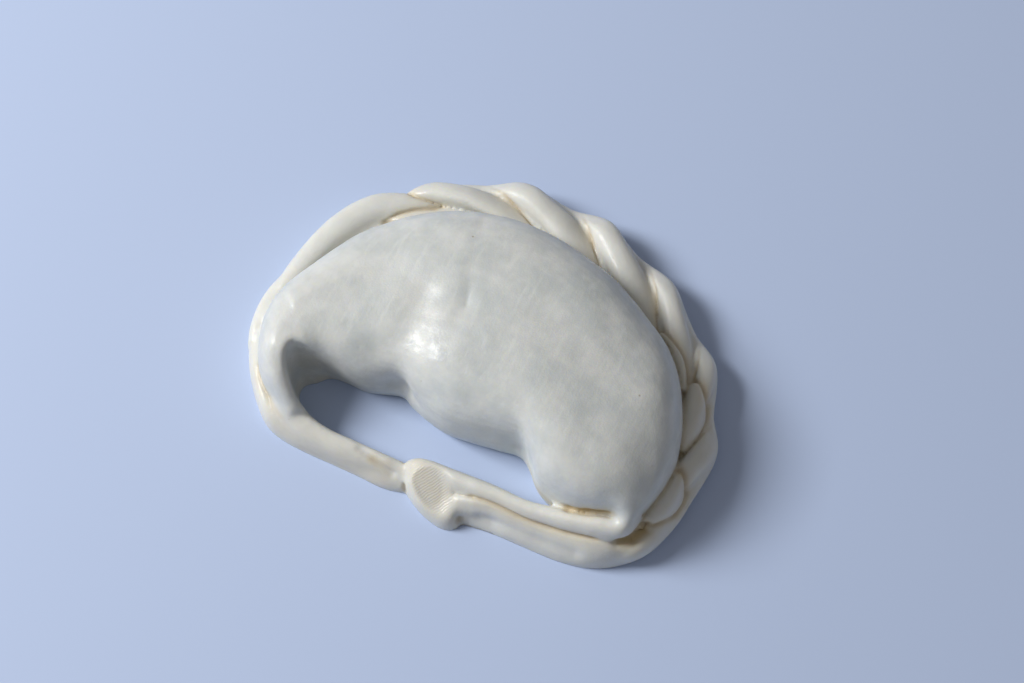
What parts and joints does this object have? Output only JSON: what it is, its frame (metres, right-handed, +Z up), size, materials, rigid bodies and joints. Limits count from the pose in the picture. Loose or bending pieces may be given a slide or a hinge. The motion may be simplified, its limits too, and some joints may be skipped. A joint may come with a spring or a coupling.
{
  "type": "empanada",
  "caption": "Raw folded empanada: a full crescent of pale dough with a rope-twisted rim, its horns bent round the front and pinched into a ring.",
  "frame": {"origin": "under the middle of the whole, on the plane that the underside rests on", "axes": "+X along the length, towards the end where the rope runs into the right horn; +Y towards the roped back; +Z up"},
  "size_m": [0.1112, 0.0834, 0.028],
  "materials": {
    "dough": "damp satin raw dough"
  },
  "bodies": {
    "root": {"empanada": "dough"}
  },
  "joints": []
}
